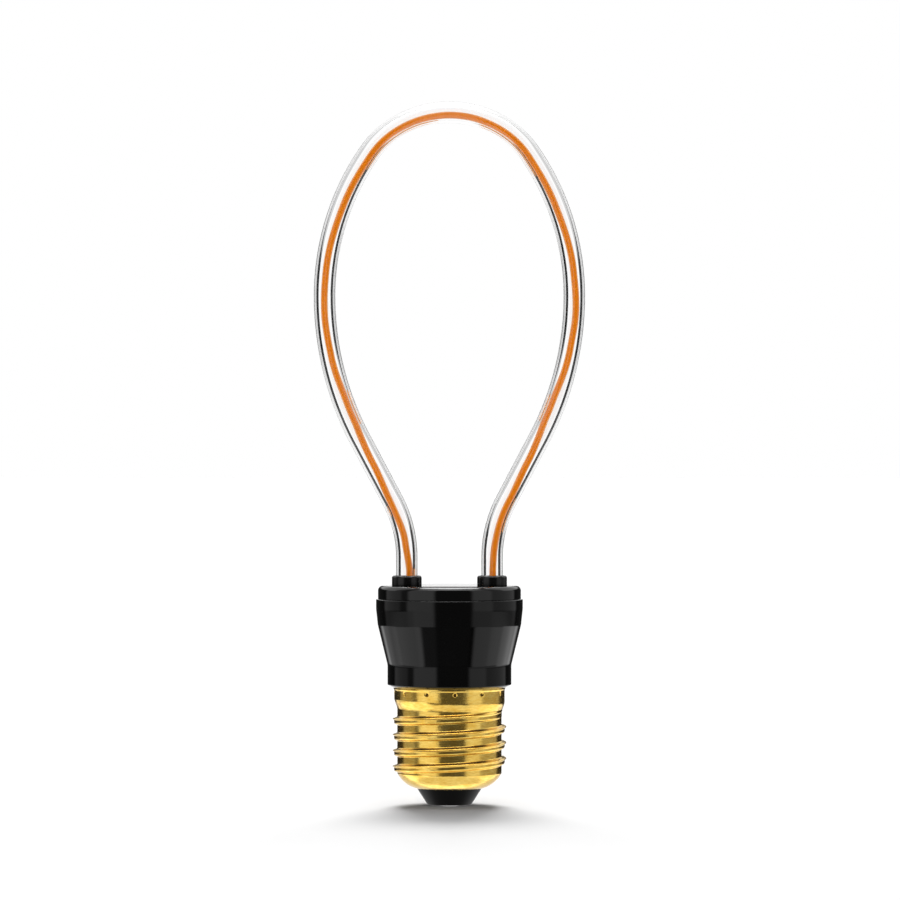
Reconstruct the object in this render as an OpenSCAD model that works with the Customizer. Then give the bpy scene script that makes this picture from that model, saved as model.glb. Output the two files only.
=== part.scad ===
// LED loop bulb with an E27 screw cap, as the separate pieces that it is assembled from.
// +Z points from the cap to the loop, and the loop stands in the XZ plane.
// The origin is the middle of the centre contact's flat face.

/* [Screw shell] */
// Diameter over the thread's crests
thread_crest_d = 26.2; // [25.9:0.05:26.4]
// Diameter at the thread's roots
thread_root_d = 24.0; // [23.6:0.05:24.3]
// Rise of the thread in one turn
thread_pitch = 3.629; // [3.4:0.01:3.8]
// Turns of thread from its foot to the plain band
thread_turns = 4.4; // [3.6:0.1:4.6]
// Direction in which the thread starts, in degrees from +X
thread_start_angle = 202.5; // [180:0.5:220]
// Diameter of the plain band above the thread
band_d = 25.4; // [25:0.05:25.8]
// Height of the plain band
band_h = 3.75; // [3.4:0.05:5]
// Thickness of the brass sheet
shell_sheet = 0.3; // [0.2:0.05:0.4]
// Diameter of the hole in the shell's bottom
lip_d = 15.2; // [14:0.1:16.5]
// Height of the shell's domed bottom
dome_h = 3.5; // [3:0.1:4.5]
// Radius of the domed bottom's curve
dome_curve_r = 6.5; // [5.5:0.1:9]
// Number of punch marks that stake the shell to the neck
stake_count = 12; // [6, 9, 12]
// Width of a punch mark
stake_w = 1.3; // [1:0.05:1.5]
// Depth of a punch mark
stake_depth = 0.55; // [0.3:0.05:0.6]
// Distance from the shell's top edge down to the punch marks
stake_drop = 1.6; // [1.2:0.05:2]

/* [Centre contact and insulator] */
// Height of the shell's bottom lip above the contact's face
lip_z = 4.0; // [3.5:0.1:4.5]
// Diameter of the insulator's lower end
insulator_end_d = 10.2; // [10:0.1:12]
// Height by which the contact stands out of the insulator
contact_stand = 0.3; // [0.2:0.05:0.5]
// Diameter of the contact's disc
contact_d = 9.0; // [7:0.1:9.2]
// Diameter of the flat on the contact's face
contact_flat_d = 4.4; // [3:0.1:6]
// Thickness of the contact's disc
contact_t = 0.5; // [0.4:0.05:0.8]
// Diameter of the hollow rivet through the insulator
rivet_d = 2.2; // [1.8:0.1:3]

/* [Housing] */
// Diameter of the housing's rim
rim_d = 33.8; // [33:0.1:36]
// Diameter where the rim meets the cone
shoulder_d = 33.0; // [32:0.1:33.4]
// Diameter of the straight waist above the cap
waist_d = 28.5; // [28:0.1:31]
// Height of the rim
rim_h = 5.9; // [5:0.1:8]
// Height of the cone
cone_h = 9.2; // [7:0.1:13]
// Height of the waist
waist_h = 5.1; // [4:0.1:8]
// Height of the chamfer under the waist
foot_chamfer_h = 0.6; // [0.3:0.05:1]
// Width of the chamfer under the waist
foot_chamfer_w = 1.05; // [0.6:0.05:1.2]
// Wall thickness of the housing
housing_wall = 1.6; // [1.2:0.05:1.8]
// Wall thickness of the neck inside the shell
neck_wall = 1.2; // [1:0.05:1.4]

/* [Top cover] */
// Diameter of the cover
cover_d = 32.9; // [32:0.1:33]
// Height of the cover above the housing's rim
cover_h = 3.1; // [2.6:0.1:4]
// Radius of the cover's upper edge
cover_edge_r = 1.1; // [0.5:0.1:1.5]
// Thickness of the cover's plate
cover_plate_t = 1.6; // [1.4:0.1:2]
// Depth of the cover's spigot inside the rim
spigot_h = 2.8; // [2.4:0.1:3.4]
// Wall thickness of the spigot
spigot_wall = 1.2; // [1:0.05:1.4]
// Depth of the sockets that hold the tube, below the cover's top face
socket_depth = 5.9; // [5:0.1:6.5]

/* [Collars] */
// Outer diameter of a collar
collar_d = 6.85; // [6.4:0.05:7.4]
// Height of a collar above the cover
collar_h = 2.3; // [1.5:0.1:3]
// Radius of a collar's upper edge
collar_edge_r = 0.5; // [0.2:0.05:0.6]

/* [Light tube] */
// Outer diameter of the clear tube
tube_d = 5.0; // [4.8:0.05:5.2]
// Wall thickness of the clear tube
tube_wall = 0.9; // [0.7:0.05:1]
// Distance between the centres of the two legs
leg_spacing = 19.6; // [18:0.1:20]
// Straight stretch of each leg above the cover
leg_straight = 6.5; // [3:0.1:12]
// Greatest width over the loop
loop_w = 62.4; // [56:0.1:70]
// Lean of the slanted stretches, in degrees from upright
loop_lean = 27.9; // [24:0.1:32]
// Bend radius where the legs turn outward
leg_bend_r = 27.8; // [20:0.1:30]
// Bend radius from the slant back to upright
belly_bend_r = 70.4; // [60:0.1:76]
// Bend radius above the widest place
shoulder_bend_r = 57.9; // [50:0.1:66]
// Turn of that bend in degrees
shoulder_turn = 34.6; // [30:0.1:38]
// Bend radius beside the crown
crown_side_r = 20.0; // [16:0.1:24]
// Turn of that bend in degrees
crown_side_turn = 20.9; // [15:0.1:24]

/* [Filament] */
// Width of the filament in the loop's plane
filament_w = 1.5; // [1.2:0.05:1.7]
// Thickness of the filament across the loop's plane
filament_t = 1.7; // [1.4:0.05:1.8]
// Radius of the filament's rounded edges
filament_edge_r = 0.5; // [0.3:0.05:0.55]
// Distance from the tube's end to the filament's end
filament_recess = 3.2; // [3:0.1:5]
// Width of the flat pin on each end of the filament
terminal_w = 1.0; // [0.8:0.05:1.2]
// Thickness of the flat pin
terminal_t = 0.25; // [0.2:0.01:0.3]

/* [Driver] */
// Thickness of the circuit board
board_t = 1.2; // [1:0.1:1.6]
// Diameter of the electrolytic capacitor
electrolytic_d = 8.0; // [6:0.1:8.4]
// Length of the electrolytic capacitor
electrolytic_h = 12.0; // [10:0.1:13]
// Diameter of the inductor's drum core
inductor_d = 7.8; // [6:0.1:8]
// Height of the inductor's drum core above the board
inductor_h = 7.0; // [5:0.1:7.4]
// Diameter of the fuse resistor's body
fuse_d = 2.8; // [2.2:0.1:3]
// Length of the fuse resistor's body
fuse_l = 7.5; // [6:0.1:8]
// Width of the square leads of the board's parts
lead_w = 0.5; // [0.4:0.05:0.6]
// Diameter of the wires between the cap and the board
cap_wire_d = 0.5; // [0.4:0.05:0.6]
// Diameter of the insulated leads to the filament
filament_lead_d = 0.8; // [0.6:0.05:1]

/* [Hidden] */
$fn = 64;

// Clearances: a slip fit, a glue line, a rattle-free seat and the air round a loose piece
slip_gap = 0.05;
glue_gap = 0.25;
seat_gap = 0.05;
air_gap = 0.2;
// Depth by which a cut runs past the face that it opens
overcut = 0.5;

// Thread and shell
steps = 36;
fine = 3;
fine_steps = steps * fine;
strip = round(steps * (thread_turns + 1));
strip_turns = strip / steps;
thread_z = lip_z + dome_h;
band_z = thread_z + thread_pitch * (strip_turns - 1);
shell_top_z = band_z + band_h;
stake_z = shell_top_z - stake_drop;
crest_r = thread_crest_d / 2;
root_r = thread_root_d / 2;
band_r = band_d / 2;
lip_r = lip_d / 2;
// Fine step of the band at which the first punch mark lies
stake_phase = 7;
stake_every = fine_steps / stake_count;
// Each row of the thread's strip: its share of the pitch, and its share of the crest's height
outer_rows = [[0, 0], [0.22, 0.05], [0.34, 0.5], [0.44, 0.97], [0.56, 0.97], [0.66, 0.5], [0.78, 0.05]];
inner_rows = [[0, 0], [0.25, 0], [0.5, 0.95], [0.75, 0]];
dome_marks = [0.25, 0.5, 0.75, 1];
band_marks = [stake_z - stake_w / 2, stake_z, stake_z + stake_w / 2, shell_top_z];
// Turns over which the thread grows at its foot and dies away under the band
thread_grow_from = 0.45;
thread_grow_over = 0.4;
thread_fade_from = strip_turns - 1.3;
thread_fade_over = 0.4;
band_fill_from = strip_turns - 1.45;
band_fill_over = 0.5;

// Arc of the domed bottom, from the thread's foot to the lip
dome_top = [root_r, thread_z];
dome_lip = [lip_r, lip_z];
dome_chord = dome_top - dome_lip;
dome_centre = (dome_top + dome_lip) / 2
    + [-dome_chord.y, dome_chord.x] / norm(dome_chord)
    * sqrt(dome_curve_r * dome_curve_r - dome_chord * dome_chord / 4);
dome_top_angle = atan2(dome_top.y - dome_centre.y, dome_top.x - dome_centre.x);
dome_lip_angle = atan2(dome_lip.y - dome_centre.y, dome_lip.x - dome_centre.x);

// Insulator and contact
insulator_gap = 0.15;
insulator_inset = shell_sheet + 2 * seat_gap;
insulator_edge_r = 0.4;
// Shares of the dome's arc, from its top, at which the insulator follows it, and where it ends
insulator_marks = [0.95, 0.8, 0.65, 0.5];
insulator_top = dome_point(0.35, insulator_inset);
contact_cone_h = contact_stand + seat_gap;
contact_top_z = contact_cone_h + contact_t;
rivet_wall = 0.5;
rivet_head_w = 0.5;
rivet_head_t = 0.35;

// Housing
housing_z = shell_top_z + seat_gap;
waist_top_z = housing_z + waist_h;
shoulder_z = waist_top_z + cone_h;
seam_z = shoulder_z + rim_h;
rim_r = rim_d / 2;
shoulder_r = shoulder_d / 2;
waist_r = waist_d / 2;
rim_straight_h = 2.2;
rim_blend_r = 6;
shoulder_blend_r = 2;
waist_blend_r = 4;
neck_r = root_r - shell_sheet - air_gap;
neck_top_r = band_r - shell_sheet - air_gap;
neck_in_r = neck_r - neck_wall;
neck_lift = 1.5;
neck_z = thread_z + neck_lift;
neck_ramp_h = 0.7;
housing_floor_t = 1.4;
stake_pocket_d = stake_w + 3 * air_gap;

// Cover, sockets and collars
cover_top_z = seam_z + cover_h;
cover_under_z = cover_top_z - cover_plate_t;
spigot_r = rim_r - housing_wall - slip_gap;
spigot_in_r = spigot_r - spigot_wall;
snap_rise = 0.3;
snap_h = 0.9;
snap_drop = spigot_h / 2;
leg_x = leg_spacing / 2;
tube_r = tube_d / 2;
bore_r = tube_r - tube_wall;
tube_foot_z = cover_top_z - socket_depth;
socket_r = tube_r + glue_gap;
socket_wall = 0.95;
boss_r = socket_r + socket_wall;
boss_floor_t = 1.2;
boss_z = tube_foot_z - boss_floor_t;
boss_rib_t = 1.2;
boss_rib_h = 2.5;
collar_wall = 0.55;
collar_foot_r = tube_r + slip_gap + collar_wall;
collar_foot_h = 1.1;
collar_seat_r = collar_foot_r + slip_gap;
collar_seat_h = collar_foot_h + seat_gap;

// Centreline of half the loop: each stretch has a length and a turn, outward positive
bend_x = loop_w / 2 - tube_r;
slant_l = (bend_x - leg_x - (leg_bend_r + belly_bend_r) * (1 - cos(loop_lean))) / sin(loop_lean);
crown_lean = shoulder_turn + crown_side_turn;
crown_x = bend_x - shoulder_bend_r * (1 - cos(shoulder_turn))
    - crown_side_r * (cos(shoulder_turn) - cos(crown_lean));
crown_r = crown_x / cos(crown_lean);
crown_turn = 90 - crown_lean;
stretches = [
    [socket_depth + leg_straight, 0],
    [arc_length(leg_bend_r, loop_lean), loop_lean],
    [slant_l, 0],
    [arc_length(belly_bend_r, loop_lean), -loop_lean],
    [arc_length(shoulder_bend_r, shoulder_turn), -shoulder_turn],
    [arc_length(crown_side_r, crown_side_turn), -crown_side_turn],
    [arc_length(crown_r, crown_turn), -crown_turn],
];
last_stretch = len(stretches) - 1;
// Sleeve over each joint between two stretches, and the trim of the stretches under it
joint_l = 0.4;
joint_rise = 0.02;
joint_trim = 0.05;
half_loop_l = stretch_start(last_stretch + 1)[3];

// Filament: how far it lies off the tube's centreline, inward positive, as shares of its play.
// Each pair is a share of the way from the foot to the crown, and a share of the play.
filament_air = 0.15;
filament_play = bore_r - filament_w / 2 - filament_air;
filament_sway = [
    [0, 0], [0.07, 0.4], [0.17, -0.95], [0.28, 0], [0.37, 1], [0.47, 0.1],
    [0.58, -0.6], [0.66, 0], [0.78, 0.6], [0.88, 1], [1, 0.6],
];
filament_ring_step = 3.5;
filament_end_z = tube_foot_z + filament_recess;
plug_h = 2.2;
terminal_stand = 0.6;
terminal_z = boss_z - terminal_stand;

// Driver board, upright in the neck's rails
board_side_gap = 1.8;
board_lift = 3;
board_top_gap = 1.2;
board_x = neck_in_r - board_side_gap;
board_z = neck_z + board_lift;
board_top_z = boss_z - board_top_gap;
board_face = board_t / 2;
rail_grip = 1;
rail_t = 1;
rail_stop_h = 1;
rail_top_z = housing_z + housing_floor_t;

// Leads and solder
lead_hole_d = lead_w * sqrt(2) + air_gap;
lead_stand = 0.9;
fillet_r = lead_w * 1.5;
fillet_top_r = lead_w * 1.1;
bead_r = 0.8;
bead_top_r = 0.5;
bead_h = 0.8;
bead_reach = bead_r + air_gap / 2;

// The board's parts stand in rows, each placed from the one below it
first_row_h = 3.6;
row_gap = 0.85;
inductor_z = board_z + first_row_h + inductor_d / 2;
inductor_lead_x = 2.5;
inductor_flange_t = 0.9;
inductor_spool_r = inductor_d / 4;
winding_r = inductor_d / 2 - 0.5;
chip_x = 3.2;
chip_w = 3.9;
bridge_h = 4.7;
bridge_t = 1.5;
bridge_leg_pitch = 2.54;
bridge_z = inductor_z - fillet_r - air_gap - bridge_h / 2;
ic_h = 4.9;
ic_t = 1.4;
ic_leg_pitch = 1.27;
ic_z = inductor_z + fillet_r + row_gap + ic_h / 2;
electrolytic_lead_z = ic_z + ic_h / 2 + row_gap + fillet_r;
electrolytic_lead_x = 1.75;
electrolytic_lead_drop = 1.2;
electrolytic_edge_r = 0.5;
electrolytic_z = electrolytic_lead_z + electrolytic_lead_drop;
electrolytic_y = -board_face - air_gap - electrolytic_d / 2;
film_w = 7.4;
film_t = 4.4;
film_h = 8.4;
film_foot_z = electrolytic_lead_z + fillet_r + row_gap;
film_z = film_foot_z + film_h / 2;
film_lead_x = 3.2;
fuse_x = -5.6;
fuse_z = board_z + first_row_h + fuse_l / 2;
fuse_sleeve_t = 0.25;
fuse_y = board_face + air_gap + fuse_d / 2 + slip_gap + fuse_sleeve_t;
fuse_lead_l = 1.1;
fuse_edge_r = 0.5;
// Small chip parts as [x, z, width, height, thickness, side], the last one a diode
diode_h = 2.7;
chips = [
    [5.6, board_z + 4.5, 1.6, 3.2, 0.6, -1], [-5.6, board_z + 7, 1.6, 3.2, 0.6, -1],
    [5.8, board_z + 11, 1.3, 2, 0.5, -1], [-5.8, board_z + 15.4, 1.3, 2, 0.5, -1],
    [-1.8, board_z + 3, 1.3, 2, 0.5, 1], [-0.9, board_z + 12.4, 1.3, 2, 0.5, 1],
    [-4, film_foot_z - air_gap - diode_h / 2, 1.8, diode_h, 1.2, 1],
];

// Wires between the cap and the board, and the leads to the filament
wire_notch_w = cap_wire_d + 2 * air_gap;
wire_groove_depth = cap_wire_d + slip_gap;
wire_groove_h = 6;
live_x = 0;
neutral_x = -4;
wire_end_z = board_z + 1.6;
filament_lead_x = board_x - 2.4;
filament_lead_end_z = board_top_z - 4.5;

// Arcs and straight sweeps

function arc_length(r, turn) = r * turn * PI / 180;
function smooth(x) = let (c = min(max(x, 0), 1)) c * c * (3 - 2 * c);
function polar(r, angle, z) = [r * cos(angle), r * sin(angle), z];
function unit(v) = v / norm(v);

// Points that round the corner at p, between a and b, with radius r
function corner(a, p, b, r, parts) =
    let (
        u = unit([a.x - p.x, a.y - p.y]),
        v = unit([b.x - p.x, b.y - p.y]),
        half = acos(min(max(u * v, -1), 1)) / 2,
        centre = [p.x, p.y] + unit(u + v) * r / sin(half),
        from = [p.x, p.y] + u * r / tan(half) - centre,
        to = [p.x, p.y] + v * r / tan(half) - centre,
        start = atan2(from.y, from.x),
        sweep = atan2(from.x * to.y - from.y * to.x, from * to)
    )
    [for (i = [0:parts]) centre + r * [cos(start + sweep * i / parts), sin(start + sweep * i / parts)]];

// An outline whose points are [x, y] for a sharp corner and [x, y, radius] for a round one
function rounded(points, parts = 6) =
    let (n = len(points))
    [for (i = [0:n - 1])
        let (p = points[i], r = len(p) == 3 ? p[2] : 0)
        each r > 0 ? corner(points[(i + n - 1) % n], p, points[(i + 1) % n], r, parts) : [[p.x, p.y]]];

// State where a stretch of the half loop starts: x, z, lean and the length so far
function stretch_start(i) = i == 0 ? [leg_x, tube_foot_z, 0, 0] : along(stretch_start(i - 1), i - 1, 1);

// State at a share f of stretch i, which starts at state at
function along(at, i, f) =
    let (l = stretches[i][0] * f, turn = stretches[i][1] * f, lean = at[2] + turn)
    turn == 0
        ? [at[0] + l * sin(lean), at[1] + l * cos(lean), lean, at[3] + l]
        : let (r = l * 180 / PI / turn)
          [at[0] + r * (cos(at[2]) - cos(lean)), at[1] + r * (sin(lean) - sin(at[2])), lean, at[3] + l];

// The filament's lie off the centreline at a share f of the way up
function sway_at(f) =
    let (i = max([for (k = [0:len(filament_sway) - 2]) filament_sway[k][0] <= f ? k : 0]))
    let (a = filament_sway[i], b = filament_sway[i + 1])
    filament_play * (a[1] + (b[1] - a[1]) * smooth((f - a[0]) / (b[0] - a[0])));

// A ring of section points [across, out] about p, square to direction d, which isn't along Y
function ring(p, d, section) =
    let (across = unit(cross([0, 1, 0], d)), out = cross(unit(d), across))
    [for (q = section) p + q.x * across + q.y * out];

function circle_section(r, sides) = [for (i = [0:sides - 1]) r * [cos(360 * i / sides), sin(360 * i / sides)]];

// Points on a smooth curve through a route's points
function curve_point(p, i, t) =
    let (
        n = len(p) - 1,
        a = p[max(i - 1, 0)],
        b = p[i],
        c = p[min(i + 1, n)],
        d = p[min(i + 2, n)]
    )
    (2 * b + (c - a) * t + (2 * a - 5 * b + 4 * c - d) * t * t + (3 * b - 3 * c + d - a) * t * t * t) / 2;
function curve(p, parts) =
    concat([for (i = [0:len(p) - 2]) for (k = [0:parts - 1]) curve_point(p, i, k / parts)], [p[len(p) - 1]]);

// A closed solid through rings of points, each with as many points as the first
module through_rings(rings) {
    sides = len(rings[0]);
    last = len(rings) - 1;
    polyhedron(
        points = [for (r = rings) each r],
        faces = concat(
            [[for (k = [0:sides - 1]) k]],
            [[for (k = [sides - 1:-1:0]) last * sides + k]],
            [for (i = [0:last - 1]) for (k = [0:sides - 1])
                let (a = i * sides + k, b = i * sides + (k + 1) % sides)
                each [[a, a + sides, b + sides], [a, b + sides, b]]]
        )
    );
}

// A round wire along a smooth curve through the route's points
module wire(route, d, parts = 4) {
    p = curve(route, parts);
    last = len(p) - 1;
    through_rings([for (i = [0:last])
        ring(p[i], p[min(i + 1, last)] - p[max(i - 1, 0)], circle_section(d / 2, 8))]);
}

module ring_solid(outer_r, inner_r, h) {
    difference() {
        cylinder(r = outer_r, h = h);
        translate([0, 0, -overcut]) cylinder(r = inner_r, h = h + 2 * overcut);
    }
}

// A box whose x and y are centred and whose z runs from z0 to z1
module post(x, y, w, t, z0, z1) {
    translate([x - w / 2, y - t / 2, z0]) cube([w, t, z1 - z0]);
}

// Loop and filament

module tube_section(rise = 0) {
    difference() {
        circle(r = tube_r + rise, $fn = 48);
        circle(r = bore_r - rise, $fn = 48);
    }
}

// One stretch of the clear tube, cut short where a joint takes over.
// The last one crosses the axis to its mirror image.
module tube_stretch(i) {
    at = stretch_start(i);
    l = stretches[i][0];
    turn = stretches[i][1] * (i == last_stretch ? 2 : 1);
    if (turn == 0) {
        from = i == 0 ? 0 : joint_trim;
        translate([at[0], 0, at[1]]) rotate([0, at[2], 0]) translate([0, 0, from])
            linear_extrude(l - from - joint_trim) tube_section();
    } else {
        r = l * 180 / PI / stretches[i][1];
        trim = joint_trim * 180 / PI / abs(r);
        start = turn > 0 ? 180 - at[2] - turn : -at[2];
        translate([at[0] + r * cos(at[2]), 0, at[1] - r * sin(at[2])])
            rotate([90, 0, 0]) rotate([0, 0, start + trim])
            rotate_extrude(angle = abs(turn) - 2 * trim, $fn = 128) translate([abs(r), 0]) tube_section();
    }
}

// The drawn tube thickens very slightly where one bend runs into the next
module tube_joint(i) {
    at = stretch_start(i);
    translate([at[0], 0, at[1]]) rotate([0, at[2], 0]) translate([0, 0, -joint_l / 2])
        linear_extrude(joint_l) tube_section(joint_rise);
}

module half_tube() {
    for (i = [0:last_stretch - 1]) tube_stretch(i);
    for (i = [1:last_stretch]) tube_joint(i);
}

module light_tube() {
    color([0.86, 0.9, 0.92, 0.45])
    union() {
        half_tube();
        mirror([1, 0, 0]) half_tube();
        tube_stretch(last_stretch);
    }
}

module led_filament() {
    section = rounded([
        [-filament_w / 2, -filament_t / 2, filament_edge_r], [filament_w / 2, -filament_t / 2, filament_edge_r],
        [filament_w / 2, filament_t / 2, filament_edge_r], [-filament_w / 2, filament_t / 2, filament_edge_r]], 2);
    half = [for (i = [0:last_stretch])
        let (
            at = stretch_start(i),
            from = i == 0 ? filament_recess / stretches[0][0] : 0,
            parts = ceil(stretches[i][0] * (1 - from) / filament_ring_step)
        )
        for (k = [0:parts - (i == last_stretch ? 0 : 1)]) along(at, i, from + (1 - from) * k / parts)];
    // Up the left half and down the right half, so that across always points inward
    up = [for (s = half) [-s[0], s[1], -sin(s[2]), cos(s[2]), s[3]]];
    down = [for (k = [len(half) - 2:-1:0]) let (s = half[k]) [s[0], s[1], -sin(s[2]), -cos(s[2]), s[3]]];
    color("darkorange")
    through_rings([for (s = concat(up, down))
        ring([s[0], 0, s[1]], [s[2], 0, s[3]], [for (q = section) q + [sway_at(s[4] / half_loop_l), 0]])]);
}

module filament_terminal(side) {
    color("silver")
    post(side * leg_x, 0, terminal_w, terminal_t, terminal_z, filament_end_z - seat_gap);
}

module tube_plug(side) {
    color("whitesmoke")
    difference() {
        translate([side * leg_x, 0, tube_foot_z]) cylinder(r = bore_r - slip_gap, h = plug_h);
        post(side * leg_x, 0, terminal_w + 2 * slip_gap, terminal_t + 2 * slip_gap,
            tube_foot_z - overcut, tube_foot_z + plug_h + overcut);
    }
}

module tube_adhesive(side) {
    color("ivory")
    translate([side * leg_x, 0, tube_foot_z + seat_gap])
        ring_solid(socket_r - slip_gap / 2, tube_r + slip_gap / 2,
            cover_top_z - collar_seat_h - tube_foot_z - 2 * seat_gap);
}

// Cover and housing

module tube_collar(side) {
    color("#181818")
    translate([side * leg_x, 0, cover_top_z])
        rotate_extrude() polygon(rounded([
            [tube_r + slip_gap, -collar_foot_h], [collar_foot_r, -collar_foot_h], [collar_foot_r, seat_gap / 2],
            [collar_d / 2, seat_gap / 2], [collar_d / 2, collar_h, collar_edge_r], [tube_r + slip_gap, collar_h]]));
}

module top_cover() {
    color("#141414")
    difference() {
        union() {
            rotate_extrude(angle = 360) polygon(rounded([
                [0, cover_top_z], [cover_d / 2, cover_top_z, cover_edge_r], [cover_d / 2, seam_z + seat_gap],
                [spigot_r, seam_z + seat_gap], [spigot_r, seam_z - snap_drop + snap_h / 2],
                [spigot_r + snap_rise, seam_z - snap_drop], [spigot_r, seam_z - snap_drop - snap_h / 2],
                [spigot_r, seam_z - spigot_h], [spigot_in_r, seam_z - spigot_h],
                [spigot_in_r, cover_under_z], [0, cover_under_z]]));
            for (side = [-1, 1])
                translate([side * leg_x, 0, boss_z]) cylinder(r = boss_r, h = cover_under_z - boss_z + overcut);
            post(0, 0, leg_spacing - 2 * socket_r - 2 * slip_gap, boss_rib_t,
                cover_under_z - boss_rib_h, cover_under_z + overcut);
        }
        for (side = [-1, 1]) translate([side * leg_x, 0, 0]) {
            translate([0, 0, cover_top_z - collar_seat_h]) cylinder(r = collar_seat_r, h = collar_seat_h + overcut);
            translate([0, 0, tube_foot_z]) cylinder(r = socket_r, h = cover_top_z - tube_foot_z);
            translate([0, 0, boss_z - overcut]) cylinder(r = bore_r - slip_gap, h = boss_floor_t + 2 * overcut);
        }
    }
}

// Direction of punch mark i, in degrees from +X
function stake_angle(i) = step_angle(strip + (stake_phase + i * stake_every) / fine);

module housing_walls() {
    rim_in_r = rim_r - housing_wall;
    groove_r = spigot_r + snap_rise + slip_gap;
    rotate_extrude() polygon(rounded([
        [neck_in_r, neck_z], [neck_r, neck_z], [neck_r, band_z], [neck_top_r, band_z + neck_ramp_h],
        [neck_top_r, housing_z], [waist_r - foot_chamfer_w, housing_z],
        [waist_r, housing_z + foot_chamfer_h], [waist_r, waist_top_z, waist_blend_r],
        [shoulder_r, shoulder_z, shoulder_blend_r], [rim_r, seam_z - rim_straight_h, rim_blend_r],
        [rim_r, seam_z], [rim_in_r, seam_z], [rim_in_r, seam_z - snap_drop + snap_h / 2 + slip_gap],
        [groove_r, seam_z - snap_drop], [rim_in_r, seam_z - snap_drop - snap_h / 2 - slip_gap],
        [rim_in_r, seam_z - spigot_h - air_gap], [shoulder_r - housing_wall, shoulder_z],
        [waist_r - housing_wall, waist_top_z], [waist_r - housing_wall, housing_z + housing_floor_t],
        [neck_in_r, housing_z + housing_floor_t]]));
}

// A rail that holds one edge of the board, joined to the neck's inner wall
module board_rail(side) {
    inner_x = board_x - rail_grip;
    outer_x = neck_in_r + neck_wall / 4;
    mid_x = (inner_x + outer_x) / 2;
    slot_x = board_x + slip_gap;
    difference() {
        post(side * mid_x, 0, outer_x - inner_x, board_t + 2 * (rail_t + slip_gap),
            board_z - rail_stop_h, rail_top_z);
        post(side * (inner_x - overcut + slot_x) / 2, 0, slot_x - inner_x + overcut, board_t + 2 * slip_gap,
            board_z - seat_gap, rail_top_z + overcut);
    }
}

module housing_body() {
    color("#101010")
    difference() {
        union() {
            housing_walls();
            for (side = [-1, 1]) board_rail(side);
        }
        for (i = [0:stake_count - 1])
            rotate([0, 0, stake_angle(i)])
                translate([band_r - shell_sheet - stake_depth - air_gap, 0, stake_z])
                rotate([0, 90, 0]) cylinder(d = stake_pocket_d, h = stake_depth + 2 * overcut, $fn = 24);
        // Notch and groove in which the neutral wire leaves the neck and runs up beside it
        translate([-neck_r - overcut, -wire_notch_w / 2, neck_z - overcut])
            cube([neck_wall + 2 * overcut, wire_notch_w, wire_notch_w + overcut]);
        translate([-neck_r - overcut, -wire_notch_w / 2, neck_z - overcut])
            cube([wire_groove_depth + overcut, wire_notch_w, wire_groove_h + overcut]);
    }
}

// Screw shell: one sheet whose thread is a strip one pitch high, wound round and round.
// The strip starts as a point at the foot and ends as a point under the band.

function step_angle(s) = thread_start_angle + 360 * s / steps;
function strip_low(s) = s <= steps ? thread_z : thread_z + thread_pitch * (s - steps) / steps;
function strip_high(s) = s >= strip - steps ? band_z : thread_z + thread_pitch * s / steps;
// Share by which the band's radius has taken the place of the root's
function band_share(turn) = smooth((turn - band_fill_from) / band_fill_over);
function valley_r(turn, u) =
    let (low = band_share(turn - 1), high = band_share(turn))
    root_r + (band_r - root_r) * (low + (high - low) * smooth(2 * u));
function ridge_share(turn) =
    smooth((turn - thread_grow_from) / thread_grow_over) * (1 - smooth((turn - thread_fade_from) / thread_fade_over));
function strip_point(s, row, inset) =
    let (
        turn = s / steps,
        valley = valley_r(turn, row[0]),
        r = valley + (crest_r - valley) * row[1] * ridge_share(turn)
    )
    polar(r - inset, step_angle(s), strip_low(s) + row[0] * (strip_high(s) - strip_low(s)));
function dome_point(f, inset) =
    let (angle = dome_top_angle + f * (dome_lip_angle - dome_top_angle))
    dome_centre + (dome_curve_r - inset) * [cos(angle), sin(angle)];
function band_point(i, z, inset) =
    let (marked = z == stake_z && (i - stake_phase) % stake_every == 0)
    polar(band_r - inset - (marked ? stake_depth : 0), step_angle(strip + i / fine), z);

// All points of one side of the sheet: the strip, the band's foot, the dome and the band
function sheet_points(rows, inset) = concat(
    [for (s = [0:strip]) for (row = rows) strip_point(s, row, inset)],
    [for (j = [0:steps - 1]) polar(band_r - inset, step_angle(strip + j), band_z)],
    [for (f = dome_marks) for (s = [0:steps - 1])
        let (p = dome_point(f, inset)) polar(p.x, step_angle(s), p.y)],
    [for (z = band_marks) for (i = [0:fine_steps - 1]) band_point(i, z, inset)]
);
function sheet_size(rows) =
    (strip + 1) * len(rows) + steps * (1 + len(dome_marks)) + fine_steps * len(band_marks);

// Number of the point at step s and row k; each end of the strip is a single point
function strip_at(s, k, n) = s == 0 || (s == steps && k == 0) ? 0 : s == strip ? strip * n : s * n + k;
function strip_top(s, n) =
    s < strip - steps ? strip_at(s + steps, 0, n)
    : s == strip - steps || s == strip ? strip * n
    : (strip + 1) * n + s - (strip - steps);

// Rings of point numbers: the strip's lower and upper edges, the dome's rings and the band's rings
function foot_ring(n) = [for (s = [0:steps - 1]) strip_at(s, 0, n)];
function crown_ring(n) = [for (j = [0:steps - 1]) strip_top(strip - steps + j, n)];
function dome_ring(k, n) = [for (s = [0:steps - 1]) (strip + 1) * n + steps * (1 + k) + s];
function band_ring(k, n) =
    [for (i = [0:fine_steps - 1]) (strip + 1) * n + steps * (1 + len(dome_marks)) + fine_steps * k + i];

function triangle(a, b, c) = a == b || b == c || a == c ? [] : [[a, b, c]];
function quad(a, b, c, d) = concat(triangle(a, d, c), triangle(a, c, b));
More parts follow.
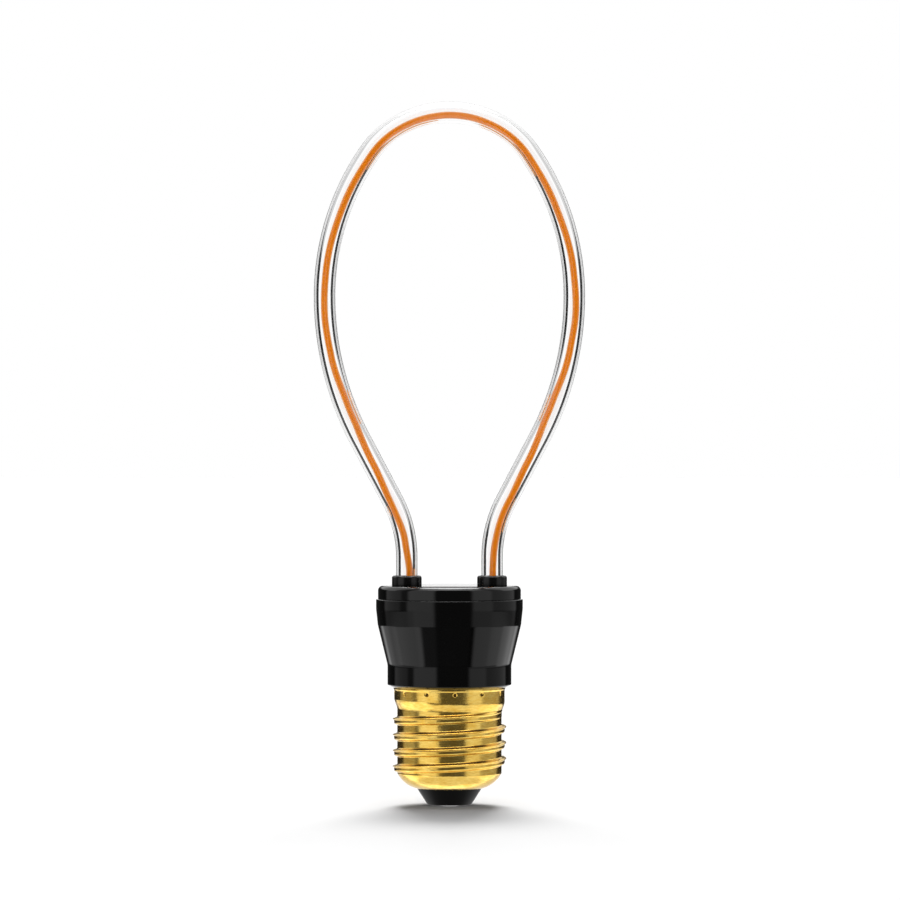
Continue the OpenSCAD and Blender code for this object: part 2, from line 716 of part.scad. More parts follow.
// Faces between a lower and an upper ring of as many points, seen from outside
function between(low, high) =
    let (n = len(low))
    [for (i = [0:n - 1]) each quad(low[i], low[(i + 1) % n], high[(i + 1) % n], high[i])];
// Faces between a lower ring and an upper ring that has fine times as many points
function between_fine(low, high) =
    let (n = len(low))
    [for (i = [0:n - 1]) each concat(
        triangle(low[i], high[(fine * (i + 1)) % (fine * n)], low[(i + 1) % n]),
        [for (k = [0:fine - 1]) [low[i], high[fine * i + k], high[(fine * i + k + 1) % (fine * n)]]])];
function sheet_faces(rows) =
    let (n = len(rows), domes = len(dome_marks), bands = len(band_marks))
    concat(
        [for (s = [0:strip - 1]) for (k = [0:n - 1]) each quad(
            strip_at(s, k, n), strip_at(s + 1, k, n),
            k == n - 1 ? strip_top(s + 1, n) : strip_at(s + 1, k + 1, n),
            k == n - 1 ? strip_top(s, n) : strip_at(s, k + 1, n))],
        between(dome_ring(0, n), foot_ring(n)),
        [for (k = [1:domes - 1]) each between(dome_ring(k, n), dome_ring(k - 1, n))],
        between_fine(crown_ring(n), band_ring(0, n)),
        [for (k = [1:bands - 1]) each between(band_ring(k - 1, n), band_ring(k, n))]
    );
function flipped(faces) = [for (f = faces) [f[2], f[1], f[0]]];
function shifted(faces, by) = [for (f = faces) [for (v = f) v + by]];

module screw_shell() {
    no = len(outer_rows);
    ni = len(inner_rows);
    inner_from = sheet_size(outer_rows);
    lip = len(dome_marks) - 1;
    top = len(band_marks) - 1;
    color("goldenrod")
    polyhedron(
        points = concat(sheet_points(outer_rows, 0), sheet_points(inner_rows, shell_sheet)),
        faces = concat(
            sheet_faces(outer_rows),
            shifted(flipped(sheet_faces(inner_rows)), inner_from),
            between([for (v = dome_ring(lip, ni)) v + inner_from], dome_ring(lip, no)),
            between(band_ring(top, no), [for (v = band_ring(top, ni)) v + inner_from])
        )
    );
}

// Bottom of the cap

module cap_insulator() {
    color("#1b1b1b")
    rotate_extrude() polygon(rounded(concat(
        [[contact_d / 2 + slip_gap, contact_stand], [insulator_end_d / 2, contact_stand, insulator_edge_r],
            [lip_r - insulator_gap, lip_z],
            [lip_r - insulator_gap, dome_point(insulator_marks[0], insulator_inset).y]],
        [for (f = insulator_marks) dome_point(f, insulator_inset)],
        [insulator_top, [rivet_d / 2 + slip_gap, insulator_top.y], [rivet_d / 2 + slip_gap, contact_top_z + seat_gap],
            [contact_d / 2 + slip_gap, contact_top_z + seat_gap]])));
}

module centre_contact() {
    rivet_r = rivet_d / 2;
    rivet_bore_r = rivet_r - rivet_wall;
    head_z = insulator_top.y + seat_gap;
    color("silver")
    rotate_extrude() polygon([
        [0, 0], [contact_flat_d / 2, 0], [contact_d / 2, contact_cone_h], [contact_d / 2, contact_top_z],
        [rivet_r, contact_top_z], [rivet_r, head_z], [rivet_r + rivet_head_w, head_z],
        [rivet_r + rivet_head_w, head_z + rivet_head_t], [rivet_bore_r, head_z + rivet_head_t],
        [rivet_bore_r, contact_top_z], [0, contact_top_z]]);
}

// Driver

// Centres of the holes for leads, as [x, z]
function lead_holes() = concat(
    [for (side = [-1, 1]) [side * electrolytic_lead_x, electrolytic_lead_z]],
    [for (side = [-1, 1]) [side * inductor_lead_x, inductor_z]],
    [for (side = [-1, 1]) [side * film_lead_x, film_z]],
    [for (side = [-1, 1]) [fuse_x, fuse_z + side * (fuse_l / 2 + fuse_lead_l)]]
);

module driver_board() {
    color("seagreen")
    difference() {
        post(0, 0, 2 * board_x, board_t, board_z, board_top_z);
        for (p = lead_holes())
            translate([p.x, board_t, p.y]) rotate([90, 0, 0]) cylinder(d = lead_hole_d, h = 2 * board_t, $fn = 24);
    }
}

// A lead that runs along Y through the board at x and z, from y0 to y1
module cross_lead(x, z, y0, y1) {
    translate([x - lead_w / 2, min(y0, y1), z - lead_w / 2]) cube([lead_w, abs(y1 - y0), lead_w]);
}

module electrolytic_capacitor() {
    color("midnightblue")
    union() {
        translate([0, electrolytic_y, electrolytic_z])
            rotate_extrude() polygon(rounded([
                [0, 0], [electrolytic_d / 2, 0, electrolytic_edge_r],
                [electrolytic_d / 2, electrolytic_h, electrolytic_edge_r], [0, electrolytic_h]]));
        for (side = [-1, 1]) {
            post(side * electrolytic_lead_x, electrolytic_y, lead_w, lead_w, electrolytic_lead_z - lead_w / 2,
                electrolytic_z + overcut);
            cross_lead(side * electrolytic_lead_x, electrolytic_lead_z, electrolytic_y - lead_w / 2,
                board_face + lead_stand);
        }
    }
}

module film_capacitor() {
    color("firebrick")
    union() {
        post(0, board_face + air_gap + film_t / 2, film_w, film_t, film_z - film_h / 2, film_z + film_h / 2);
        for (side = [-1, 1])
            cross_lead(side * film_lead_x, film_z, -board_face - lead_stand, board_face + film_t / 2);
    }
}

module inductor_core() {
    color("dimgray")
    union() {
        translate([0, -board_face - air_gap, inductor_z]) rotate([90, 0, 0])
            rotate_extrude() polygon([
                [0, 0], [inductor_d / 2, 0], [inductor_d / 2, inductor_flange_t],
                [inductor_spool_r, inductor_flange_t], [inductor_spool_r, inductor_h - inductor_flange_t],
                [inductor_d / 2, inductor_h - inductor_flange_t], [inductor_d / 2, inductor_h], [0, inductor_h]]);
        for (side = [-1, 1])
            cross_lead(side * inductor_lead_x, inductor_z, -board_face - air_gap - inductor_flange_t / 2,
                board_face + lead_stand);
    }
}

module inductor_winding() {
    color("peru")
    translate([0, -board_face - air_gap - inductor_flange_t - slip_gap, inductor_z]) rotate([90, 0, 0])
        ring_solid(winding_r, inductor_spool_r + slip_gap, inductor_h - 2 * inductor_flange_t - 2 * slip_gap);
}

// A chip package with a row of legs on two sides, standing off the board's back
module leaded_chip(x, z, w, h, t, legs, leg_pitch) {
    leg_t = 0.2;
    leg_w = 0.45;
    leg_reach = 0.9;
    leg_bite = 0.1;
    face = board_face + slip_gap;
    post(x, face + leg_t + t / 2, w, t, z - h / 2, z + h / 2);
    for (side = [-1, 1]) for (k = [0:legs - 1])
        let (leg_z = z + (k - (legs - 1) / 2) * leg_pitch) {
            post(x + side * (w / 2 + leg_reach / 2 - leg_bite), face + leg_t / 2, leg_reach, leg_t,
                leg_z - leg_w / 2, leg_z + leg_w / 2);
            post(x + side * (w / 2 + leg_t / 2), face + t / 4, 2 * leg_t, t / 2, leg_z - leg_w / 2, leg_z + leg_w / 2);
        }
}

module bridge_rectifier() {
    color("#262626") union() leaded_chip(chip_x, bridge_z, chip_w, bridge_h, bridge_t, 2, bridge_leg_pitch);
}

module driver_ic() {
    color("#202020") union() leaded_chip(chip_x, ic_z, chip_w, ic_h, ic_t, 4, ic_leg_pitch);
}

module chip_components() {
    color("tan")
    for (c = chips)
        post(c[0], c[5] * (board_face + slip_gap + c[4] / 2), c[2], c[4], c[1] - c[3] / 2, c[1] + c[3] / 2);
}

module fuse_resistor() {
    color("darkseagreen")
    union() {
        translate([fuse_x, fuse_y, fuse_z - fuse_l / 2])
            rotate_extrude() polygon(rounded([
                [0, 0], [fuse_d / 2, 0, fuse_edge_r], [fuse_d / 2, fuse_l, fuse_edge_r], [0, fuse_l]]));
        for (side = [-1, 1]) {
            lead_z = fuse_z + side * (fuse_l / 2 + fuse_lead_l);
            post(fuse_x, fuse_y, lead_w, lead_w, min(lead_z, fuse_z) - lead_w / 2, max(lead_z, fuse_z) + lead_w / 2);
            cross_lead(fuse_x, lead_z, fuse_y + lead_w / 2, -board_face - lead_stand);
        }
    }
}

module fuse_sleeve() {
    color("white")
    translate([fuse_x, fuse_y, fuse_z - fuse_l / 2 - fuse_lead_l / 4])
        ring_solid(fuse_d / 2 + slip_gap + fuse_sleeve_t, fuse_d / 2 + slip_gap, fuse_l + fuse_lead_l / 2);
}

// A fillet of solder round a lead, on the side of the board that the lead comes out of
module solder_fillet(x, z, side) {
    translate([x, side * (board_face + slip_gap), z]) rotate([-90 * side, 0, 0])
        difference() {
            cylinder(r1 = fillet_r, r2 = fillet_top_r, h = lead_stand - 2 * slip_gap);
            translate([0, 0, -overcut]) cylinder(d = lead_hole_d, h = lead_stand + 2 * overcut);
        }
}

// A bead of solder over the pad at the end of a wire
module solder_bead(x, z, side) {
    translate([x, side * (board_face + slip_gap), z]) rotate([-90 * side, 0, 0])
        cylinder(r1 = bead_r, r2 = bead_top_r, h = bead_h);
}

module solder_joints() {
    color("lightgray") {
        for (k = [0:7])
            let (p = lead_holes()[k]) solder_fillet(p.x, p.y, k < 4 ? 1 : -1);
        solder_bead(live_x, wire_end_z + bead_reach, -1);
        solder_bead(neutral_x, wire_end_z + bead_reach, 1);
        for (side = [-1, 1])
            solder_bead(side * filament_lead_x, filament_lead_end_z - bead_reach, -1);
    }
}

module live_wire() {
    lie = -board_face - cap_wire_d / 2 - slip_gap;
    color("gainsboro")
    wire([
        [live_x, 0, contact_top_z + seat_gap], [live_x, 0, insulator_top.y + 1.5],
        [live_x, lie / 2, (insulator_top.y + board_z) / 2 + 1], [live_x, lie, board_z], [live_x, lie, wire_end_z]],
        cap_wire_d);
}

module neutral_wire() {
    lie = board_face + cap_wire_d / 2 + slip_gap;
    notch_z = neck_z + wire_notch_w / 2;
    groove_x = -neck_r + cap_wire_d / 2;
    color("gainsboro")
    wire([
        [neutral_x, lie, wire_end_z], [neutral_x, lie, board_z], [neutral_x - 1.2, lie / 2, notch_z + 0.8],
        [neutral_x - 3.2, 0, notch_z], [groove_x + 1.6, 0, notch_z], [groove_x + 0.5, 0, notch_z + 0.1],
        [groove_x, 0, notch_z + 0.7], [groove_x, 0, neck_z + wire_groove_h - 1]],
        cap_wire_d);
}

module filament_lead(side) {
    lie = -board_face - filament_lead_d / 2 - slip_gap;
    color(side < 0 ? "black" : "red")
    wire([
        [side * leg_x, 0, terminal_z - 2 * seat_gap], [side * leg_x, 0, terminal_z - 0.4],
        [side * leg_x, lie, terminal_z - 1.7],
        [side * (leg_x + filament_lead_x) / 2, lie, (terminal_z + filament_lead_end_z) / 2],
        [side * filament_lead_x, lie, filament_lead_end_z + 0.8], [side * filament_lead_x, lie, filament_lead_end_z]],
        filament_lead_d);
}

light_tube();
led_filament();
filament_terminal(-1);  // filament_terminal_left
filament_terminal(1);  // filament_terminal_right
tube_plug(-1);  // tube_plug_left
tube_plug(1);  // tube_plug_right
tube_adhesive(-1);  // tube_adhesive_left
tube_adhesive(1);  // tube_adhesive_right
tube_collar(-1);  // tube_collar_left
tube_collar(1);  // tube_collar_right
top_cover();
housing_body();
screw_shell();
cap_insulator();
centre_contact();
driver_board();
electrolytic_capacitor();
film_capacitor();
inductor_core();
inductor_winding();
bridge_rectifier();
driver_ic();
chip_components();
fuse_resistor();
fuse_sleeve();
solder_joints();
live_wire();
neutral_wire();
filament_lead(-1);  // filament_lead_left
filament_lead(1);  // filament_lead_right
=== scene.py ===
"""LED loop bulb, dressed for the photograph. Metres, in the frame of the CAD."""
import math

import bmesh
import bpy
import numpy as np
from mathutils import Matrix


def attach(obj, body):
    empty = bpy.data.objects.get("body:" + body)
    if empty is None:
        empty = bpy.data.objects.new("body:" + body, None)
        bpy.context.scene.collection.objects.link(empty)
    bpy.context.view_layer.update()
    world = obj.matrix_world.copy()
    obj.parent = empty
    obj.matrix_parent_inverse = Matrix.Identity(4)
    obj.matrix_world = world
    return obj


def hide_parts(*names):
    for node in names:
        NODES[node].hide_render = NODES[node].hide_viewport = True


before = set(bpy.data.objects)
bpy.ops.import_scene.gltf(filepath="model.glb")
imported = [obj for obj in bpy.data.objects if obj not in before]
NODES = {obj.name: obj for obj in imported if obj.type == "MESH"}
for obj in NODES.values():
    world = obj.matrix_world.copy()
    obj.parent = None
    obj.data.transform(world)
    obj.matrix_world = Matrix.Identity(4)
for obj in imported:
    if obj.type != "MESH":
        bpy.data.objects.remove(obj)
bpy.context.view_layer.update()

MM = 0.001
SHARP_ANGLE = 30
HAIR = 3e-6


# Mesh helpers

def mesh_object(name, verts, faces, sharp):
    """A smooth-shaded mesh object; edges sharper than the angle stay sharp. Points are in mm."""
    mesh = bpy.data.meshes.new(name)
    mesh.from_pydata([tuple(v) for v in np.asarray(verts, float) * MM], [], faces)
    mesh.validate()
    mesh.shade_smooth()
    mesh.set_sharp_from_angle(angle=math.radians(sharp))
    obj = bpy.data.objects.new(name, mesh)
    bpy.context.scene.collection.objects.link(obj)
    return obj


def grid_faces(rows, cols, first=0, flip=False):
    """Quads between rows of points; each row has cols points and closes on itself."""
    faces = []
    for i in range(rows - 1):
        for j in range(cols):
            a, b = first + i * cols + j, first + i * cols + (j + 1) % cols
            quad = (a, b, b + cols, a + cols)
            faces.append(quad[::-1] if flip else quad)
    return faces


def corner(a, p, b, r, parts):
    """Points of the arc of radius r that rounds the corner at p between a and b."""
    a, p, b = (np.array(q[:2], float) for q in (a, p, b))
    u, v = (a - p) / np.linalg.norm(a - p), (b - p) / np.linalg.norm(b - p)
    half = math.acos(max(-1.0, min(1.0, float(u @ v)))) / 2
    w = (u + v) / np.linalg.norm(u + v)
    centre = p + w * r / math.sin(half)
    start, end = p + u * r / math.tan(half) - centre, p + v * r / math.tan(half) - centre
    a0 = math.atan2(start[1], start[0])
    sweep = math.atan2(start[0] * end[1] - start[1] * end[0], float(start @ end))
    turns = [a0 + sweep * i / parts for i in range(parts + 1)]
    return [centre + r * np.array([math.cos(t), math.sin(t)]) for t in turns]


def rounded(points, parts):
    """A closed outline of (r, z) points; a third value is the radius that rounds that corner."""
    out = []
    for i, p in enumerate(points):
        if len(p) == 3:
            out += corner(points[i - 1], p, points[(i + 1) % len(points)], p[2], parts)
        else:
            out.append(np.array(p, float))
    return out


def revolve(name, outline, sides, x=0.0):
    """Revolves a closed outline about the vertical line at x. Points on the axis become poles."""
    verts, rings = [], []
    for r, z in outline:
        if r < 1e-6:
            rings.append([len(verts)])
            verts.append((x, 0.0, z))
            continue
        rings.append(list(range(len(verts), len(verts) + sides)))
        for j in range(sides):
            t = 2 * math.pi * j / sides
            verts.append((x + r * math.cos(t), r * math.sin(t), z))
    faces = []
    for i, low in enumerate(rings):
        high = rings[(i + 1) % len(rings)]
        if len(low) == 1 and len(high) == 1:
            continue
        for j in range(sides):
            k = (j + 1) % sides
            if len(low) == 1:
                faces.append((low[0], high[k], high[j]))
            elif len(high) == 1:
                faces.append((low[j], low[k], high[0]))
            else:
                faces.append((low[j], low[k], high[k], high[j]))
    return mesh_object(name, verts, faces, SHARP_ANGLE)


def smooth(x):
    """Takes 0 to 1 to 0 to 1 with soft ends."""
    c = np.clip(x, 0.0, 1.0)
    return c * c * (3 - 2 * c)


def window(n):
    """A smoothing window of n places whose sum is 1."""
    return np.hanning(n) / np.hanning(n).sum()


# Sizes in mm, as in the CAD unless a comment says otherwise

# Above the plugs the tube's bore is narrower than in the CAD, in radius by 0.2 mm
LOOP_W, LEG_X, TUBE_R, BORE_R, PLUG_BORE_R = 62.4, 9.8, 2.5, 1.4, 1.6
PLUG_END, BORE_TAPER = 2.4, 1.6
TUBE_FOOT_Z = 44.627
BEND_X = LOOP_W / 2 - TUBE_R
# Radius and turn in degrees of each bend from the leg up to the crown, and the straight leg's length
LEG_L = 12.4
FLARE_R, FLARE_TURN = 27.8, 27.9
BELLY_R, BELLY_TURN = 70.4, 27.9
SHOULDER_R, SHOULDER_TURN = 57.9, 34.6
SIDE_R, SIDE_TURN = 20.0, 20.9
ROW_L = 0.6

# The filament is 0.2 mm thinner from front to back than in the CAD
FILAMENT_W, FILAMENT_T, FILAMENT_EDGE_R, FILAMENT_FOOT = 1.5, 1.5, 0.4, 3.2
FILAMENT_AIR = 0.03

COVER_TOP_Z, SEAM_Z = 50.527, 47.427
HOUSING_Z, WAIST_TOP_Z, SHOULDER_Z = 27.227, 32.327, 41.527
WAIST_R, HOUSING_SHOULDER_R, RIM_R, WALL = 14.25, 16.5, 16.9, 1.6
NECK_R, NECK_TOP_R, NECK_IN_R, NECK_FOOT_Z = 11.5, 12.2, 10.3, 9.0
SPIGOT_R, SPIGOT_WALL, SPIGOT_H, SNAP_DROP = 15.25, 1.2, 2.8, 1.4
COVER_R, COVER_EDGE_R = 16.45, 1.1
BOSS_R, BOSS_Z, SOCKET_R = 3.7, 43.427, 2.75
SEAT_DROP, DRAIN_LOW_Z, DRAIN_HIGH_Z = 1.15, 42.9, 45.1
COLLAR_R, COLLAR_FOOT_R, COLLAR_BORE_R, COLLAR_H, COLLAR_FOOT_H = 3.425, 3.1, 2.55, 2.3, 1.1

THREAD_Z, PITCH, BAND_Z, SHELL_TOP_Z, STAKE_Z = 7.5, 3.629, 23.427, 27.177, 25.577
THREAD_START, THREAD_TURNS = 202.5, 5.389
CREST_R, ROOT_R, BAND_R, SHEET = 13.1, 12.0, 12.7, 0.3
LIP_R, LIP_Z, DOME_R = 7.6, 4.0, 6.5
# Where the neck under the band begins, and how far that height follows the helix
NECK_Z = THREAD_Z + (THREAD_TURNS - 1.45) * PITCH - 0.1
NECK_TILT = 0.45
STAKE_COUNT, STAKE_START, STAKE_R, STAKE_DEPTH = 12, 5.83, 0.65, 0.5
# The marks lie higher than in the CAD, and their centres of painted shade higher still
STAKE_RISE, STAKE_PAINTED_SHADE_RISE = 0.4, 0.52
BEAD_H, BEAD_RISE = 0.65, 0.15


# The loop's centreline

def arc_length(radius, turn):
    return math.radians(turn) * radius


def loop_path():
    """Points up the right half as (x, z, lean, length so far). A stretch is a length and a turn outward."""
    s = math.sin(math.radians(FLARE_TURN))
    c = math.cos(math.radians(FLARE_TURN))
    slant = (BEND_X - LEG_X - (FLARE_R + BELLY_R) * (1 - c)) / s
    crown_lean = math.radians(SHOULDER_TURN + SIDE_TURN)
    crown_x = (BEND_X - SHOULDER_R * (1 - math.cos(math.radians(SHOULDER_TURN)))
               - SIDE_R * (math.cos(math.radians(SHOULDER_TURN)) - math.cos(crown_lean)))
    crown_r = crown_x / math.cos(crown_lean)
    crown_turn = 90 - SHOULDER_TURN - SIDE_TURN
    stretches = [(LEG_L, 0), (arc_length(FLARE_R, FLARE_TURN), FLARE_TURN), (slant, 0),
                 (arc_length(BELLY_R, BELLY_TURN), -BELLY_TURN),
                 (arc_length(SHOULDER_R, SHOULDER_TURN), -SHOULDER_TURN),
                 (arc_length(SIDE_R, SIDE_TURN), -SIDE_TURN),
                 (arc_length(crown_r, crown_turn), -crown_turn)]
    x, z, a, run = LEG_X, TUBE_FOOT_Z, 0.0, 0.0
    points = [(x, z, a, run)]
    for length, turn in stretches:
        parts = max(2, int(round(length / ROW_L)))
        t = math.radians(turn)
        for i in range(1, parts + 1):
            f = i / parts
            b = a + t * f
            if turn == 0:
                points.append((x + length * f * math.sin(a), z + length * f * math.cos(a), a, run + length * f))
            else:
                r = length / t
                points.append((x + r * (math.cos(a) - math.cos(b)), z + r * (math.sin(b) - math.sin(a)),
                               b, run + length * f))
        x, z, a, run = points[-1]
    return np.array(points)


HALF = loop_path()
HALF_LENGTH = HALF[-1, 3]


def loop_at(run):
    """Centre (x, z) and lean of the right half at these lengths from its foot."""
    return [np.interp(run, HALF[:, 3], HALF[:, k]) for k in range(3)]


def whole_loop(runs):
    """Centres and directions of the whole loop at the same lengths up both sides, from the right foot."""
    x, z, lean = loop_at(runs)
    keep = slice(0, -1) if runs[-1] >= HALF_LENGTH - 1e-6 else slice(0, None)
    cx = np.concatenate([x, -x[keep][::-1]])
    cz = np.concatenate([z, z[keep][::-1]])
    dx = np.concatenate([np.sin(lean), np.sin(lean[keep])[::-1]])
    dz = np.concatenate([np.cos(lean), -np.cos(lean[keep])[::-1]])
    return cx, cz, dx, dz


def section_ring(cx, cz, dx, dz, across, out):
    """Points of a section: across lies in the loop's plane, to the right of the way; out is along Y."""
    return [(cx + a * dz, o, cz - a * dx) for a, o in zip(across, out)]


# Clear tube

def build_tube():
    """The clear tube with its bore; both ends are closed by rings of triangles."""
    runs = HALF[:, 3]
    cx, cz, dx, dz = whole_loop(runs)
    n_out, n_in = 64, 48
    verts, faces = [], []
    # Inside the cover the bore is wider, for the plugs
    from_foot = np.concatenate([runs, runs[:-1][::-1]])
    bore = BORE_R + (PLUG_BORE_R - BORE_R) * (1 - smooth((from_foot - PLUG_END) / BORE_TAPER))
    for radii, sides in ((np.full(len(cx), TUBE_R), n_out), (bore, n_in)):
        t = 2 * np.pi * np.arange(sides) / sides
        for k in range(len(cx)):
            verts += section_ring(cx[k], cz[k], dx[k], dz[k], radii[k] * np.cos(t), radii[k] * np.sin(t))
    rows = len(cx)
    bore_from = rows * n_out
    faces += grid_faces(rows, n_out)
    faces += grid_faces(rows, n_in, bore_from, flip=True)
    for row, flip in ((0, True), (rows - 1, False)):
        a = [row * n_out + j for j in range(n_out)]
        b = [bore_from + row * n_in + j for j in range(n_in)]
        i = j = 0
        while i < n_out or j < n_in:
            if j * n_out >= i * n_in and i < n_out:
                f = (a[i % n_out], a[(i + 1) % n_out], b[j % n_in])
                i += 1
            else:
                f = (a[i % n_out], b[(j + 1) % n_in], b[j % n_in])
                j += 1
            faces.append(f[::-1] if flip else f)
    return mesh_object("loop_tube", verts, faces, 40)


# Filament

# How far the filament lies outward of the centreline, in mm, at shares of the way up each side
SWAY_RIGHT = [(0, 0), (0.06, 0.15), (0.15, 0.6), (0.2, 0.6), (0.27, 0.2), (0.37, -0.72), (0.48, 0.1),
              (0.545, 0.42), (0.62, 0.1), (0.74, -0.45), (0.86, -0.75), (0.91, -0.7), (0.96, -0.55),
              (1, -0.55)]
SWAY_LEFT = [(0, 0), (0.06, -0.7), (0.12, 0.15), (0.18, 0.62), (0.27, 0), (0.37, -0.75), (0.47, -0.15),
             (0.54, 0.12), (0.62, -0.05), (0.74, -0.42), (0.87, -0.72), (0.93, -0.7), (0.97, -0.6),
             (1, -0.55)]
FILAMENT_REACH = BORE_R - FILAMENT_AIR - FILAMENT_W / 2


def sway(pairs, f):
    """The filament's lie at shares f of the way up one side."""
    out = np.zeros_like(f)
    for (f0, v0), (f1, v1) in zip(pairs, pairs[1:]):
        inside = (f >= f0) & (f <= f1)
        out[inside] = v0 + (v1 - v0) * smooth((f[inside] - f0) / (f1 - f0))
    return out


def build_filament():
    """The flexible filament, swaying in the bore, a little uneven and with its edges marked as pale, partly its
    own colour and partly painted light.
    """
    runs = np.linspace(FILAMENT_FOOT, HALF_LENGTH, 420)
    cx, cz, dx, dz = whole_loop(runs)
    share = runs / HALF_LENGTH
    shift = np.concatenate([sway(SWAY_RIGHT, share), sway(SWAY_LEFT, share[:-1])[::-1]])
    shift = np.clip(shift, -FILAMENT_REACH, FILAMENT_REACH)
    half_w, half_t = FILAMENT_W / 2, FILAMENT_T / 2
    corners = [(-half_w, -half_t), (half_w, -half_t), (half_w, half_t), (-half_w, half_t)]
    outline = np.array(rounded([(*p, FILAMENT_EDGE_R) for p in corners], 6))
    n = len(outline)
    rng = np.random.default_rng(11)
    rows = len(cx)
    wobble = np.convolve(rng.normal(0, 1, rows + 40), window(21), "same")[20:-20]
    verts = []
    for k in range(rows):
        grow = min(1 + 0.02 * wobble[k], 1.02)
        side = shift[k]
        verts += section_ring(cx[k] + side * dz[k], cz[k] - side * dx[k], dx[k], dz[k],
                              outline[:, 0] * grow, outline[:, 1] * grow)
    faces = grid_faces(rows, n)
    faces.append(tuple(range(n))[::-1])
    faces.append(tuple((rows - 1) * n + j for j in range(n)))
    obj = mesh_object("loop_filament", verts, faces, 60)
    edge = obj.data.attributes.new("edge", "FLOAT", "POINT")
    # Where the coating is painted paler: partly its own colour, partly painted light through the thin edge
    pale = smooth((np.abs(outline[:, 0]) / half_w - 0.55) / 0.3)
    edge.data.foreach_set("value", np.tile(pale, rows).astype(np.float32))
    return obj


# Screw shell

def dome_outline(parts):
    """The dome's section from the lip up to the thread's foot: the arc's centre and its angles."""
    top, lip = np.array([ROOT_R, THREAD_Z]), np.array([LIP_R, LIP_Z])
    mid, chord = (top + lip) / 2, top - lip
    half = np.linalg.norm(chord) / 2
    side = np.array([-chord[1], chord[0]]) / np.linalg.norm(chord)
    centre = mid + side * math.sqrt(DOME_R ** 2 - half ** 2)
    a0 = math.atan2(lip[1] - centre[1], lip[0] - centre[0])
    a1 = math.atan2(top[1] - centre[1], top[0] - centre[0])
    return centre, [a0 + (a1 - a0) * i / parts for i in range(parts + 1)]


# The rolled thread, as pitches above the crest's lip and share of its height: a sloping upper side, a thin lip,
# an upright face under it and a rounded lower edge
RIDGE = [(-0.5, 0), (-0.435, 0), (-0.405, 0.06), (-0.375, 0.28), (-0.345, 0.5), (-0.325, 0.57),
         (-0.3, 0.62), (-0.265, 0.665), (-0.18, 0.69), (-0.1, 0.71), (-0.08, 0.75), (-0.06, 0.83),
         (-0.04, 0.925), (-0.02, 0.985), (0, 1), (0.02, 0.96), (0.045, 0.8), (0.08, 0.46), (0.11, 0.18),
         (0.14, 0.04), (0.175, 0), (0.5, 0)]
RIDGE_U = np.linspace(-0.5, 0.5, 401)
RIDGE_H = np.interp(RIDGE_U, [p[0] for p in RIDGE], [p[1] for p in RIDGE])
RIDGE_H = np.convolve(np.pad(RIDGE_H, 4, "edge"), window(9), "valid")
# The visible crest stays this much inside the CAD's
CREST_AIR = 0.03


def ridge_profile(u):
    """Height of the thread, 0 in the valley and 1 on the crest, at u pitches above the crest's lip."""
    return np.interp(u, RIDGE_U, RIDGE_H)


def thread_place(angle, z):
    """Pitches above the nearest crest, and how far the thread has risen there, 0 to 1."""
    turn0 = ((angle - THREAD_START) % 360) / 360
    crest_turn = (z - THREAD_Z) / PITCH + 0.5
    turn = turn0 + np.round(crest_turn - turn0)
    grow = smooth((turn - 0.45) / 0.4) * (1 - smooth((turn - (THREAD_TURNS - 1.3)) / 0.4))
    return crest_turn - turn, grow


def shell_radius(angle, z):
    """Outer radius of the threaded part and the neck at an angle in degrees and a height."""
    u, grow = thread_place(angle, z)
    fill = smooth((z + NECK_TILT * np.cos(np.radians(angle)) - NECK_Z) / (BAND_Z + 0.9 - NECK_Z))
    valley = ROOT_R + (BAND_R - ROOT_R) * fill
    return valley + (CREST_R - CREST_AIR - valley) * ridge_profile(u) * grow


def flank_painted_shade(angle, z):
    """Painted shade in the corner above the thread, 0 to 1, but not at the sides."""
    u, grow = thread_place(angle, z)
    # The painted shade is left out where the shell turns to the sides, towards ±X
    unshaded_sides = smooth((np.abs(np.cos(np.radians(angle))) - 0.6) / 0.3)
    return smooth((u - 0.02) / 0.03) * (1 - smooth((u - 0.11) / 0.05)) * (1 - unshaded_sides) * grow


def from_stake(angles):
    """Distance along the band from each direction to the nearest punch mark, in mm."""
    every = 360 / STAKE_COUNT
    away = ((angles - STAKE_START + every / 2) % every) - every / 2
    return np.radians(away) * BAND_R


def shell_row(angles, z):
    """Outer radius of the shell at one height, and the painted shade there, in the punch marks and the corner
    above the thread.
    """
    r = shell_radius(angles, z) if z < BAND_Z + 1.1 else np.full(len(angles), BAND_R)
    if z < BAND_Z:
        low = smooth((z - THREAD_Z) / 0.5)
        r = ROOT_R + (r - ROOT_R) * low
    across = from_stake(angles)
    d = np.hypot(across, z - STAKE_Z - STAKE_RISE) / STAKE_R
    r = r - STAKE_DEPTH * (1 - smooth((d - 0.05) / 0.8))
    r = r + BEAD_RISE * smooth((z - SHELL_TOP_Z + BEAD_H) / 0.38)
    # Painted shade: a dark spot in the centre of each punch mark's dent
    dark = 1 - smooth((np.hypot(across, z - STAKE_Z - STAKE_PAINTED_SHADE_RISE) - 0.12) / 0.2)
    return r, np.maximum(dark, flank_painted_shade(angles, z) if z < BAND_Z - 0.4 else 0)


